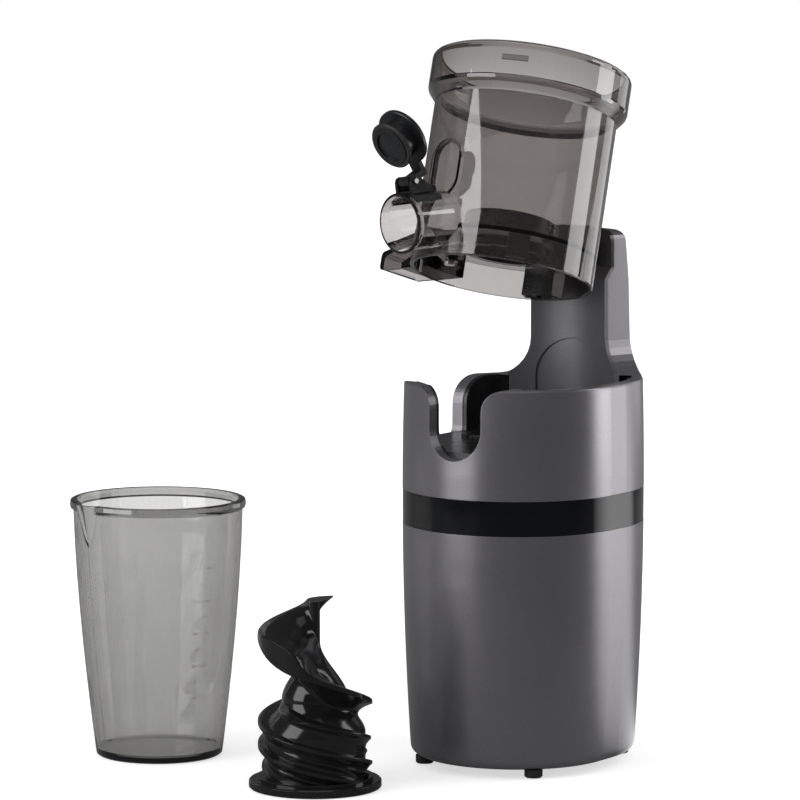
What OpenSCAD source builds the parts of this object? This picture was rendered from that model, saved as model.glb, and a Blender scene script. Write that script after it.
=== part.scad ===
// Cold press juicer: a motor base with a collar and a neck, a juicing bowl with its
// spout, cap and pulp chute, the auger and the juice cup. Millimetres, +Z up.
// The origin is on the counter, under the middle of the base. The collar's front and
// the juice spout's seat point to -Y, the neck stands at +Y, the pulp notch opens to -X.

/* [Base] */
// Radius of the rounded ends of the body at its widest level
base_r = 68.7; // [67.5:0.1:71]
// Half length of the straight flanks between the rounded ends
flank = 8.3; // [7:0.1:10]
// Height of the widest level
waist_z = 165; // [150:1:175]
// Radius of the barrel curve up the side
barrel_r = 2400; // [1800:50:4000]
// Height of the collar's rim
rim_z = 234; // [228:0.5:240]
// Wall of the housings
shell_t = 2.6; // [2.2:0.1:3]
// Rounding of the bottom edge
bottom_round = 6; // [4:0.5:7]
// Rounding of the rim's edge
rim_round = 1.6; // [1:0.1:1.8]
// Height of the rubber feet
foot_h = 5; // [4:0.5:7]
// Radius of a rubber foot
foot_r = 5.5; // [4.5:0.1:5.8]
// Distance of a foot from the centre of its rounded end
foot_reach = 56; // [52:0.5:57]
// Thickness of the floor and of the base cover together
floor_t = 4; // [3.5:0.1:5]

/* [Accent band] */
// Lower edge of the band
band_z = 147; // [140:0.5:150]
// Height of the band
band_h = 21; // [16:0.5:24]
// Thickness of the band
band_t = 2.2; // [1.6:0.1:2.6]

/* [Collar] */
// Inner radius of the well's rounded ends
well_r = 58.2; // [57.5:0.1:58.6]
// Wall of the black tub that lines the well
tub_t = 2.5; // [2:0.1:2.8]
// Thickness of the tub's floor
deck_t = 3; // [2.5:0.1:4]
// Depth of the well below the rim
well_depth = 39; // [36:0.5:42]
// Play between the spout and its notch
notch_gap = 1.8; // [1.2:0.1:2.4]
// Depth of the spout's notch below the rim
notch_depth = 43.4; // [41:0.2:46]
// Radius of the turned-out corners at the top of the spout's notch
notch_flare = 13; // [8:0.5:14]
// Half width of the wide notch for the chute
side_half = 31; // [24:0.5:33]
// Depth of the wide notch below the rim
side_depth = 45; // [42:0.5:47]
// Radius of the lower corners of the wide notch
side_corner = 9; // [6:0.5:12]
// Radius of the turned-out corners at the top of the wide notch
side_flare = 17; // [10:0.5:18]

/* [Neck] */
// Height of the neck above the rim
neck_h = 87; // [70:1:100]
// Half width of the neck's front
neck_half = 26; // [23:0.5:28]
// Radius of the neck's hollow front face, about the bowl's axis
neck_r = 62.5; // [61.5:0.1:63.5]
// Extra depth of the upper, black part of the front face
insert_depth = 4.9; // [3:0.1:6]
// Radius of the flare where the neck meets the rim
neck_flare = 24; // [16:1:26]
// Height of the arched recess's centre
arch_z = 229; // [222:1:236]
// Radius of the arched recess
arch_r = 24; // [18:0.5:25]
// How much lower the rim lies between the wide notch and the neck
rim_drop = 5.2; // [0:0.1:6]
// Half width of the neck's cover inside the well
cover_half = 38; // [30:0.5:40]
// Depth of the arched recess
arch_depth = 1.2; // [0.6:0.1:1.4]

/* [Juicing bowl] */
// Outer radius of the bowl's wall
bowl_r = 55.5; // [54.5:0.1:55.9]
// Height of the bowl
bowl_h = 132; // [120:1:140]
// Wall of the bowl
bowl_t = 2.4; // [2:0.1:2.8]
// Outer radius of the ring at the top
ring_r = 60.8; // [59.5:0.1:62]
// Height of the ring at the top
ring_h = 25; // [20:0.5:28]
// Height of the floor above the bowl's lower edge
skirt_h = 17; // [15:0.5:19]
// Radius of the black ring in the middle of the floor
hub_r = 27; // [25:0.5:29]
// Bore radius of the black ring
hub_bore_r = 22; // [20:0.5:23]
// Outer radius of the juice spout
spout_r = 16.6; // [16:0.1:17]
// Wall of the juice spout
spout_t = 1.6; // [1.4:0.1:1.8]
// Radius of the rim around the spout's mouth
mouth_r = 18.1; // [17.4:0.1:18.6]
// Height at which the spout's axis leaves the wall
spout_z = 22; // [21.6:0.1:23]
// Length of the spout
spout_len = 31; // [28:0.5:34]
// How steeply the spout runs down
spout_drop = 20; // [16:0.5:21]
// Distance of the pulp chute's end from the bowl's axis
chute_reach = 97; // [92:1:104]
// Half width of the pulp chute
chute_half = 15; // [12:0.5:16.5]
// Height of the chute's lower edge
chute_low = 7; // [5:0.5:9]
// Height of the chute's end
chute_end_h = 12; // [10:0.5:14]

/* [Spout cap] */
// Radius of the cap's disc
cap_r = 17.7; // [17:0.1:19]
// Thickness of the disc
cap_t = 3; // [2.6:0.1:4]
// Radius of the plug that enters the spout
plug_r = 12; // [10:0.1:13]
// Length of the plug
plug_len = 11; // [9:0.5:12]
// Height of the hinge pin above the spout's axis
cap_pivot_h = 24; // [23.5:0.5:26]
// How far the cap stands open
cap_open = 155; // [0:5:160]

/* [Auger] */
// Height of the auger with its base
auger_h = 111; // [95:1:120]
// Outer radius of its blades
auger_r = 34; // [30:0.5:36]
// Radius of its base flange
flange_r = 39.4; // [37:0.2:41]
// Thickness of its base flange
flange_t = 5; // [4:0.2:6]
// Rise of the tall blade for each turn
blade_pitch = 76; // [65:1:85]
// Rise of the pressing ribs for each turn
rib_pitch = 50; // [42:1:60]

/* [Juice cup] */
// Height of the cup
cup_h = 158; // [140:1:170]
// Radius at the rim
cup_rim_r = 51.8; // [48:0.2:54]
// Radius at the foot
cup_foot_r = 38.5; // [35:0.2:41]
// Wall of the cup
cup_t = 2.2; // [1.8:0.1:2.6]
// How far the pouring lip stands out
lip_out = 4.5; // [3:0.5:6]

/* [Drive] */
// Distance between the drive's axis and the layshaft
gear_gap = 31.2; // [31.2:0.1:31.6]
// Teeth of both small gears
small_teeth = 12;
// Teeth of the first large gear
first_teeth = 66;
// Teeth of the second large gear
second_teeth = 40;
// Pressure angle of all teeth
pressure = 25; // [22:1:27]
// Play between meshing flanks
backlash = 0.3; // [0.2:0.05:0.5]
// Radius of the output shaft
output_r = 7; // [6:0.5:7.5]
// Radius of the motor's shaft and of the layshaft's ends
shaft_r = 4; // [3.5:0.1:4.2]
// Radial play of a shaft in its bearing
running = 0.05; // [0.02:0.01:0.08]
// Outer radius of the motor's laminations
stator_r = 45; // [42:0.5:46]
// Radius of the rotor's core
rotor_r = 24; // [22:0.5:25]

/* [Layout] */
// How far the bowl's lower edge is held above its seat
bowl_lift = 100.7; // [90:0.1:130]
// How far the lifted bowl leans towards the neck
bowl_lean = 19.3; // [0:0.1:20]
// How far the lifted bowl is turned about its own axis
bowl_turn = -15; // [-15:1:0]
// How far the lifted bowl is drawn forward and aside from the seat
bowl_forward = 14.7; // [13:0.1:20]
bowl_aside = -1.3; // [-2:0.1:0]
// Where the auger stands on the counter
auger_x = -50.8; // [-60:0.1:-45]
auger_y = -145.8; // [-160:0.1:-140]
// Where the cup stands on the counter
cup_x = -191.4; // [-210:0.1:-170]
cup_y = -115; // [-130:0.1:-100]

/* [Hidden] */
$fn = 96;
eps = 0.01;

// levels of the base
deck_z = rim_z - well_depth;
seat_gap = 0.3;
seat_z = deck_z + seat_gap;
tub_z = deck_z - deck_t;
band_top = band_z + band_h;
seam_z = band_z + band_h / 2;
shoulder_r = base_r - band_t;
floor_z = foot_h + floor_t;
neck_z = rim_z + neck_h;
bowl_y = -flank;
notch_r = spout_r + notch_gap;
liner_r = well_r + tub_t;
slip = 0.2;

// radius of the body's rounded ends at a height
function body_r(z) = base_r - barrel_r + sqrt(barrel_r * barrel_r - (z - waist_z) * (z - waist_z));
// points up the body's side, moved in by off
function side(z0, z1, steps, off = 0) =
    [for (i = [0:steps]) let (z = z0 + (z1 - z0) * i / steps) [body_r(z) - off, z]];
// arc about a centre
function arc(x, y, r, a0, a1, steps) =
    [for (i = [0:steps]) let (a = a0 + (a1 - a0) * i / steps) [x + r * cos(a), y + r * sin(a)]];
function mirrored(pts) = [for (i = [len(pts) - 1:-1:0]) [-pts[i][0], pts[i][1]]];

// solid with the body's plan: rounded ends and straight flanks, from [radius, z] points
module oval_solid(pts) {
    last = len(pts) - 1;
    half = concat([[0, pts[0][1]]], pts, [[0, pts[last][1]]]);
    translate([0, flank, 0]) rotate_extrude(angle = 180) polygon(half);
    translate([0, -flank, 0]) rotate([0, 0, 180]) rotate_extrude(angle = 180) polygon(half);
    rotate([90, 0, 0]) linear_extrude(height = 2 * flank, center = true)
        polygon(concat(pts, mirrored(pts)));
}
module oval_plate(r, z0, z1) { oval_solid([[r, z0], [r, z1]]); }
// round post, hole or plate standing at a height
module post(x, y, z0, z1, r) { translate([x, y, z0]) cylinder(h = z1 - z0, r = r); }
module tube(z0, z1, r_out, r_in) {
    difference() {
        post(0, 0, z0, z1, r_out);
        post(0, 0, z0 - 1, z1 + 1, r_in);
    }
}
// four places on the rounded ends' circles
module at_corners(reach) {
    spread = reach * sin(45);
    for (sx = [-1, 1], sy = [-1, 1])
        translate([sx * spread, sy * (flank + spread), 0]) children();
}
// four places about the drive's axis
module about_drive(reach, turn = 45) {
    translate([0, bowl_y, 0]) for (k = [0:3])
        rotate([0, 0, turn + 90 * k]) translate([reach, 0, 0]) children();
}

// ---- base: housings, band, neck -------------------------------------------------

// outline of a notch, open at the top, its edge moved out by grow
function notch_side(half, corner, sill, flare, grow, drop = 0) = concat(
    arc(half - corner, sill + corner, corner + grow, -90, 0, 12),
    arc(half + flare, rim_z - drop - flare, flare - grow, 180, 90, 12), [[half + flare, rim_z + 2]]);
module notch(from_y, to_y, half, corner, sill, flare, grow, drop = 0) {
    right = notch_side(half, corner, sill, flare, grow);
    left = notch_side(half, corner, sill, flare, grow, drop);
    translate([0, -from_y, 0]) rotate([90, 0, 0]) linear_extrude(height = to_y - from_y)
        polygon(concat(right, mirrored(left)));
}
// the spout's notch towards -Y and the chute's wide notch towards -X
module notches(grow = 0) {
    notch(bowl_front, 90, notch_r, notch_r, rim_z - notch_depth, notch_flare, grow);
    translate([0, bowl_y - 1.2, 0]) rotate([0, 0, -90])
        notch(40, 90, side_half, side_corner, rim_z - side_depth, side_flare, grow, rim_drop);
}
bowl_front = 40;

cover_r = 48;
cover_drop = 0.3;
opening_r = 42;
base_screw_reach = 45;
base_screw_r = 1.6;

module bottom_profile_solid() {
    bottom = arc(body_r(foot_h + bottom_round) - bottom_round, foot_h + bottom_round,
        bottom_round, -90, 0, 6);
    oval_solid(concat(bottom, side(foot_h + bottom_round + 8, band_z, 8),
        [[shoulder_r, band_z], [shoulder_r, seam_z]]));
}
inlet_z = 30;
rocker_z = 112;
rocker_w = 15;
rocker_h = 24;
bezel_edge = 3;
bezel_lip = 1.5;
back_y = flank + body_r(rocker_z);
module back_opening(w, h, y) { translate([-w / 2, y, rocker_z - h / 2]) cube([w, 30, h]); }

module lower_housing() {
    color("dimgray") difference() {
        union() {
            difference() {
                bottom_profile_solid();
                oval_solid(concat([[body_r(floor_z) - shell_t - 2, floor_z]],
                    side(floor_z + 3, band_z - 4, 6, shell_t),
                    [[shoulder_r - shell_t, band_z - 1], [shoulder_r - shell_t, seam_z + 1]]));
            }
            at_corners(base_screw_reach) post(0, 0, floor_z - 1, floor_z + 7, 4);
            at_corners(foot_reach) post(0, 0, floor_z - 1, floor_z + 3, 4.5);
        }
        oval_plate(opening_r, foot_h - 1, floor_z + 1);
        oval_plate(cover_r + slip, foot_h - 1, foot_h + 2.7);
        at_corners(base_screw_reach) post(0, 0, foot_h - 1, floor_z + 8, base_screw_r);
        at_corners(foot_reach) post(0, 0, foot_h - 1, floor_z + 4, foot_r - 3);
        // holes for the mains inlet and the rocker in the back, each with a flat seat around it
        translate([0, back_y - 12, inlet_z]) rotate([-90, 0, 0]) cylinder(h = 30, r = inlet_r);
        translate([0, flank + body_r(inlet_z) - seat_in, inlet_z]) rotate([-90, 0, 0])
            cylinder(h = 10, r = inlet_r + inlet_edge + slip);
        back_opening(rocker_w + 2 * bezel_edge, rocker_h + 2 * bezel_edge, back_y - 12);
        back_opening(rocker_w + 2 * bezel_edge + 2 * bezel_lip + 2 * slip,
            rocker_h + 2 * bezel_edge + 2 * bezel_lip + 2 * slip, back_y - seat_in);
    }
}

module accent_band() {
    color("black") difference() {
        oval_solid([[body_r(band_z) - 0.1, band_z], [base_r - 0.1, (band_z + band_top) / 2 + 5],
            [body_r(band_top) - 0.1, band_top]]);
        oval_plate(shoulder_r, band_z - 1, band_top + 1);
    }
}

// the neck's sides spread towards the back
neck_splay = 17;
neck_corner = 8;
// the neck's body before its front is hollowed out
module neck_block(off, z0) {
    flare_z = rim_z + neck_flare;
    back = concat([[body_r(rim_z) - 0.4 - off, z0], [body_r(rim_z) - 0.4 - off, rim_z - 0.4],
        [body_r(rim_z) - off, rim_z + 4], [body_r(rim_z) + 0.2 - off, flare_z],
        [body_r(rim_z) - 0.8 - off, neck_z - 31]],
        arc(body_r(rim_z) - 9.2 - off, neck_z - 6 - off, 6, 0, 90, 5));
    intersection() {
        oval_solid(back);
        intersection_for(s = [-1, 1])
            translate([0, bowl_y + neck_r - 5, 0]) mirror([s > 0 ? 0 : 1, 0, 0])
                rotate([0, 0, -neck_splay]) rotate([90, 0, 0]) translate([0, 0, -60])
                    linear_extrude(height = 80) polygon(neck_side(off, z0, s > 0 ? 0 : rim_drop));
        translate([-100, 20, z0]) cube([200, 80, 200]);
    }
}
function neck_side(off, z0, drop) = let (half = neck_half - off, top = neck_z - off,
        foot = neck_half + neck_flare)
    concat([[-100, z0], [foot, z0]],
        arc(foot, rim_z - drop + neck_flare, neck_flare + off, -90, -180, 8),
        arc(half - neck_corner, top - neck_corner, neck_corner, 0, 90, 5), [[-100, top]]);
// the lowered piece of rim between the wide notch and the neck, with its lower side moved by grow
module rim_saddle(grow = 0) {
    difference() {
        translate([-90, 25, rim_z - rim_drop - grow]) cube([90 - neck_half, 60, rim_drop + grow + 3]);
        translate([0, bowl_y + neck_r - 5, 0]) mirror([1, 0, 0])
            rotate([0, 0, -neck_splay]) rotate([90, 0, 0]) translate([0, 0, -60])
                linear_extrude(height = 80) polygon(neck_side(0, rim_z - 20, rim_drop));
    }
}
// everything in front of the neck's face, moved back by off
insert_z = neck_z - 23;
module neck_front(off) {
    translate([0, bowl_y, 0]) rotate_extrude() polygon([[0, deck_z], [neck_r + off, deck_z],
        [neck_r + off, insert_z - 7], [neck_r + insert_depth + off, insert_z],
        [neck_r + insert_depth + off, neck_z + 5], [0, neck_z + 5]]);
}
// the slab of the neck's front skin, from the well's floor to the top
low_rim = rim_z - rim_drop;
module neck_skin() {
    intersection() {
        union() {
            neck_block(0, low_rim);
            translate([-cover_half, 20, deck_z]) cube([2 * cover_half, 80, low_rim - deck_z + 1]);
        }
        difference() {
            neck_front(shell_t);
            neck_front(0);
        }
    }
}
// sides of the front cover inside the well, back to the tub's wall
module neck_returns() {
    back_y = flank + sqrt(well_r * well_r - cover_half * cover_half) - seat_gap;
    difference() {
        for (s = [-1, 1]) translate([s * (cover_half - shell_t / 2) - shell_t / 2, 30, deck_z])
            cube([shell_t, back_y - 30, low_rim - deck_z - 1]);
        neck_front(0);
    }
}
module neck_cover() {
    color([0.26, 0.26, 0.28]) difference() {
        union() {
            intersection() {
                neck_skin();
                translate([-100, 0, deck_z - 1]) cube([200, 100, insert_z - deck_z + 1]);
            }
            neck_returns();
        }
        intersection() {
            translate([0, bowl_y, deck_z + 8]) cylinder(h = 100, r = neck_r + arch_depth);
            union() {
                translate([0, 20, arch_z]) rotate([-90, 0, 0]) cylinder(h = 60, r = arch_r);
                translate([-arch_r, 20, deck_z + 8]) cube([2 * arch_r, 60, arch_z - deck_z - 8]);
            }
        }
    }
}
module neck_insert() {
    color("black") intersection() {
        neck_skin();
        translate([-100, 0, insert_z]) cube([200, 100, 100]);
    }
}

tab_z = tub_z - 3;
bore_r = liner_r + slip;
module upper_housing() {
    r_in = shoulder_r - shell_t;
    color("dimgray") difference() {
        union() {
            difference() {
                // collar
                oval_solid(concat([[shoulder_r, seam_z], [shoulder_r, band_top]],
                    side(band_top, rim_z - rim_round, 5),
                    arc(body_r(rim_z) - rim_round, rim_z - rim_round, rim_round, 0, 90, 4)));
                oval_solid(concat([[r_in, seam_z - 1], [r_in, band_top + 1]],
                    side(band_top + 4, rim_z - 3, 4, shell_t)));
                oval_plate(bore_r, seam_z, rim_z + 1);
            }
            // walls that frame both notches between the outer shell and the tub
            intersection() {
                difference() {
                    oval_solid(concat(side(tab_z - 10, rim_z - rim_round, 5, 0.5),
                        [[body_r(rim_z) - 2.5, rim_z]]));
                    oval_plate(bore_r, seam_z, rim_z + 1);
                }
                union() {
                    notches(shell_t);
                    rim_saddle(shell_t);
                }
            }
            // ledge under the tub's floor
            difference() {
                oval_plate(body_r(tab_z) - shell_t + 0.5, tab_z, tub_z);
                oval_plate(bore_r, tab_z - 1, tub_z + 1);
            }
            // neck
            difference() {
                neck_block(0, low_rim - 2);
                neck_block(shell_t, low_rim - 3);
                neck_front(shell_t);
                oval_plate(bore_r, low_rim - 3, low_rim);
                intersection() {
                    oval_plate(bore_r, low_rim - 3, rim_z);
                    translate([-20, 0, low_rim - 4]) cube([120, 100, 20]);
                }
            }
        }
        notches();
        rim_saddle();
        at_corners(deck_screw_reach) post(0, 0, tab_z - 1, tub_z + 1, deck_screw_r);
    }
}
deck_screw_reach = 63;
deck_screw_r = 1.3;

hub_z = deck_z + 5;
shaft_hole = 9;
seal_r = 11.8;
module well_tub() {
    sill = tub_z - 8;
    color([0.05, 0.05, 0.055]) difference() {
        union() {
            difference() {
                oval_plate(body_r(tub_z) - shell_t - slip, tub_z, deck_z);
                // cut back where the housing's notch frames stand
                difference() {
                    notches(shell_t + slip);
                    oval_plate(liner_r, sill, rim_z + 3);
                }
            }
            difference() {
                oval_plate(liner_r, sill, rim_z - 1);
                oval_plate(well_r, deck_z, rim_z);
                oval_plate(well_r, sill - 1, tub_z);
            }
            post(0, bowl_y, tub_z, hub_z, 16);
            // raised arcs that the bowl's lower edge is centred by
            for (a = [20, 140, 260]) translate([0, bowl_y, deck_z - 1]) rotate([0, 0, a])
                rotate_extrude(angle = 40) translate([34, 0]) square([6, 3.5]);
        }
        translate([0, bowl_y, 0]) {
            post(0, 0, tub_z - 1, hub_z + 1, shaft_hole);
            post(0, 0, deck_z + 0.5, hub_z + 1, seal_r + slip);
        }
        // the notches above the deck
        intersection() {
            notches(slip);
            translate([-100, -100, deck_z + eps]) cube([200, 200, 60]);
        }
        translate([-neck_half - slip, 20, rim_z - 2]) cube([2 * (neck_half + slip), 80, 10]);
        translate([-90, 25, low_rim - slip]) cube([70, 60, 10]);
        at_corners(deck_screw_reach) post(0, 0, tub_z - 1, deck_z + 1, deck_screw_r);
        about_drive(post_reach, post_turn) post(0, 0, tub_z - 1, deck_z + 1, 1.7);
    }
}
module deck_seal() {
    color("dimgray") translate([0, bowl_y, 0]) tube(deck_z + 0.5, hub_z, seal_r, output_r + running);
}
module pan_screw(z0, z1, head_z, r = 1.5, head_r = 2.8, head_h = 2) {
    post(0, 0, z0, z1, r);
    post(0, 0, head_z, head_z + head_h, head_r);
}
module deck_screws() {
    color("silver") {
        at_corners(deck_screw_reach) pan_screw(tab_z - 0.5, deck_z, tab_z - 2, deck_screw_r, 2.1);
        about_drive(post_reach, post_turn) pan_screw(tub_z - 6, deck_z + 0.5, deck_z, 1.7, 3.4);
    }
}
module base_cover() {
    top = foot_h + 2.7;
    color([0.1, 0.1, 0.1]) difference() {
        union() {
            oval_plate(cover_r, foot_h + cover_drop, top);
            // posts for the board and the cradle for the capacitor
            for (sx = [-1, 1], sy = [-1, 1])
                post(sx * (board_w / 2 - 5), board_y + sy * (board_d / 2 - 6), top - 1, board_z, 3);
            translate([-18, cap_y - 14, top - 1]) cube([4, 28, 12]);
            translate([14, cap_y - 14, top - 1]) cube([4, 28, 12]);
        }
        at_corners(base_screw_reach) post(0, 0, foot_h - 1, top + 1, base_screw_r);
        translate([-30, cap_y, can_z]) rotate([0, 90, 0]) cylinder(h = 60, r = can_r);
        // air slots
        for (k = [-3:3]) translate([k * 9 - 2, -20, foot_h - 1]) cube([4, 30, 5]);
    }
}
board_z = foot_h + 13;
board_w = 58;
board_d = 52;
board_t = 1.6;
board_y = -14;
can_r = 12;
can_len = 46;
cap_y = 32;
can_z = foot_h + 2.7 + 1 + can_r;
module base_screws() {
    color("silver") at_corners(base_screw_reach) {
        post(0, 0, foot_h + cover_drop, floor_z + 6, base_screw_r);
        post(0, 0, foot_h + cover_drop - 1.6, foot_h + cover_drop, 3);
    }
}
module rubber_feet() {
    color([0.08, 0.08, 0.08]) at_corners(foot_reach) {
        rotate_extrude() polygon([[0, 0], [foot_r - 0.8, 0], [foot_r, 0.8], [foot_r, foot_h], [0, foot_h]]);
        post(0, 0, foot_h, floor_z + 3, foot_r - 3);
        post(0, 0, floor_z + 3, floor_z + 5, foot_r - 1.8);
    }
}

// ---- drive: motor, gearbox, shafts ----------------------------------------------

// levels of the drive, down from the tub that the gearbox hangs under
first_w = 8;
second_w = 10;
case_floor = 3;
lid_t = 4;
core_h = 46;
lid_z = tub_z - 21;
second_z = lid_z - second_w - 4;
first_z = second_z - first_w - 7;
case_z = first_z - 5;
upper_frame_z = case_z - 7;
core_z = upper_frame_z - core_h - 10;
lower_frame_z = core_z - 14;
fan_z = lower_frame_z - 13;
post_reach = 30;
post_turn = 0;
frame_r = stator_r + 2.5;
bolt_reach = stator_r - 4;
bolt_r = 2;
bearing_r = 11;
bearing_h = 7;
bush_r = 6.5;
air_gap = 0.5;
first_m = 2 * gear_gap / (small_teeth + first_teeth);
second_m = 2 * gear_gap / (small_teeth + second_teeth);

// involute gear: radius at which a flank point lies and half the tooth's angle there
function inv(a) = tan(a) - a * PI / 180;
function gear_points(m, teeth, steps = 3) = let (
        r = m * teeth / 2, rb = r * cos(pressure), ra = r + 0.9 * m, rf = r - 1.15 * m,
        half = 90 / teeth - backlash / 4 / r * 180 / PI + inv(pressure) * 180 / PI,
        start = max(rb, rf),
        flank_pts = [for (i = [0:steps]) let (q = start + (ra - start) * i / steps,
            a = acos(min(1, rb / q))) [q, half - inv(a) * 180 / PI]],
        root = min(rf, rb - 0.01))
    [for (k = [0:teeth - 1], p = concat([[root, -flank_pts[0][1]]],
            [for (f = flank_pts) [f[0], -f[1]]],
            [for (i = [steps:-1:0]) flank_pts[i]], [[root, flank_pts[0][1]]]))
        [p[0] * cos(k * 360 / teeth + p[1]), p[0] * sin(k * 360 / teeth + p[1])]];
module gear(m, teeth, z, w, turn, steps = 3) {
    translate([0, 0, z]) rotate([0, 0, turn]) linear_extrude(height = w)
        polygon(gear_points(m, teeth, steps));
}
module at_drive() { translate([0, bowl_y, 0]) children(); }
module at_layshaft() { translate([0, bowl_y + gear_gap, 0]) children(); }

module motor_shaft() {
    color("silver") at_drive() {
        post(0, 0, fan_z - 1, case_z + 2, shaft_r);
        post(0, 0, case_z + 2, first_z - 1, first_m * small_teeth / 2 - 1.15 * first_m - 0.1);
        gear(first_m, small_teeth, first_z - 1, first_w + 3, 90);
    }
}
module rotor_core() {
    color("slategray") at_drive() difference() {
        post(0, 0, core_z, core_z + core_h, rotor_r);
        post(0, 0, core_z - 1, core_z + core_h + 1, shaft_r);
        for (k = [0:11]) rotate([0, 0, 30 * k])
            post(rotor_r - 4, 0, core_z - 1, core_z + core_h + 1, 1.4);
    }
}
module cooling_fan() {
    hub = 9;
    tip = 35;
    color("black") at_drive() {
        tube(fan_z, fan_z + 9, hub, shaft_r);
        difference() {
            post(0, 0, fan_z, fan_z + 1.6, tip);
            post(0, 0, fan_z - 1, fan_z + 3, hub);
            for (k = [0:7]) rotate([0, 0, 45 * k + 22.5]) post(20, 0, fan_z - 1, fan_z + 3, 5);
        }
        for (k = [0:7]) rotate([0, 0, 45 * k]) translate([hub - 0.5, -0.8, fan_z + 1.6 - eps])
            cube([tip - hub - 1, 1.6, 7]);
    }
}
module motor_stator() {
    color("darkgray") at_drive() difference() {
        post(0, 0, core_z, core_z + core_h, stator_r);
        post(0, 0, core_z - 1, core_z + core_h + 1, rotor_r + air_gap);
        for (k = [0:3]) rotate([0, 0, 45 + 90 * k])
            post(bolt_reach, 0, core_z - 1, core_z + core_h + 1, bolt_r);
        for (k = [0:11]) rotate([0, 0, 30 * k])
            translate([rotor_r - 1, -1.3, core_z - 1]) cube([9, 2.6, core_h + 2]);
    }
}
module motor_windings() {
    inner = rotor_r + 4;
    outer = stator_r - 7.5;
    color([0.7, 0.38, 0.2]) at_drive() for (z = [core_z - 6, core_z + core_h])
        rotate_extrude() polygon([[inner, z], [outer, z], [outer, z + 4.5], [outer - 1.5, z + 6],
            [inner + 1.5, z + 6], [inner, z + 4.5]]);
}
module motor_upper_frame() {
    color("silver") at_drive() difference() {
        union() {
            post(0, 0, upper_frame_z, case_z, frame_r);
            tube(core_z + core_h - 8, upper_frame_z + 1, frame_r, stator_r);
            post(0, 0, upper_frame_z - 1.5, case_z, bearing_r + 3);
        }
        post(0, 0, upper_frame_z - 2, case_z - 1, bearing_r);
        post(0, 0, upper_frame_z - 3, case_z + 1, shaft_r + 2);
        for (k = [0:3]) rotate([0, 0, 45 + 90 * k]) post(bolt_reach, 0, 100, case_z + 1, bolt_r);
        for (k = [0:3]) rotate([0, 0, 90 * k]) post(28, 0, upper_frame_z - 1, case_z + 1, 6);
    }
}
module motor_lower_frame() {
    top = lower_frame_z + 7;
    color("silver") at_drive() difference() {
        union() {
            post(0, 0, lower_frame_z, lower_frame_z + 6, frame_r);
            tube(lower_frame_z + 5, core_z + 8, frame_r, stator_r);
            post(0, 0, lower_frame_z, top, bearing_r + 3);
        }
        post(0, 0, lower_frame_z + 1, top + 1, bearing_r);
        post(0, 0, lower_frame_z - 1, top + 1, shaft_r + 2);
        for (k = [0:3]) rotate([0, 0, 45 + 90 * k])
            post(bolt_reach, 0, lower_frame_z - 1, top + 1, bolt_r);
        for (k = [0:3]) rotate([0, 0, 90 * k]) post(28, 0, lower_frame_z - 1, top + 1, 6);
    }
}
module motor_bearings() {
    color("gainsboro") at_drive() {
        tube(lower_frame_z + 1, lower_frame_z + 1 + bearing_h, bearing_r, shaft_r + running);
        tube(case_z - 1 - bearing_h, case_z - 1, bearing_r, shaft_r + running);
    }
}
module motor_bolts() {
    color("gray") about_drive(bolt_reach) {
        post(0, 0, lower_frame_z, case_z + case_floor, bolt_r);
        post(0, 0, lower_frame_z - 3, lower_frame_z, 3.6);
    }
}
case_r = 31.5;
module case_outline(r, z0, z1) {
    at_drive() post(0, 0, z0, z1, r);
    at_layshaft() post(0, 0, z0, z1, r);
}
module gearbox_case() {
    color([0.75, 0.76, 0.78]) difference() {
        union() {
            case_outline(case_r, case_z, lid_z);
            at_drive() post(0, 0, case_z, case_z + case_floor, frame_r);
        }
        difference() {
            case_outline(case_r - 2.6, case_z + case_floor, lid_z + 1);
            at_layshaft() post(0, 0, case_z, case_z + case_floor + 1.4, bush_r + 2.5);
        }
        at_drive() post(0, 0, case_z - 1, case_z + case_floor + 1, first_m * small_teeth / 2 + 2);
        at_layshaft() post(0, 0, case_z + 0.6, case_z + case_floor + 2, bush_r);
        about_drive(bolt_reach) post(0, 0, case_z - 1, case_z + case_floor + 1, bolt_r);
    }
}
module gearbox_cover() {
    bush_z = tub_z - 2;
    color([0.75, 0.76, 0.78]) difference() {
        union() {
            case_outline(case_r, lid_z, lid_z + lid_t);
            at_drive() post(0, 0, lid_z, bush_z, output_r + 7.5);
            about_drive(post_reach, post_turn) post(0, 0, lid_z, tub_z, 5);
            at_layshaft() post(0, 0, lid_z - 1.4, lid_z + 1, bush_r + 2.5);
        }
        at_drive() post(0, 0, lid_z - 1, bush_z + 1, output_r + 4);
        at_layshaft() post(0, 0, lid_z - 2, lid_z + lid_t - 0.6, bush_r);
        about_drive(post_reach, post_turn) post(0, 0, tub_z - 7, tub_z + 1, 1.7);
        for (a = lid_screws) translate([a[0], bowl_y + a[1], 0])
            post(0, 0, lid_z - 2, lid_z + lid_t + 1, 1.5);
    }
}
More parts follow.
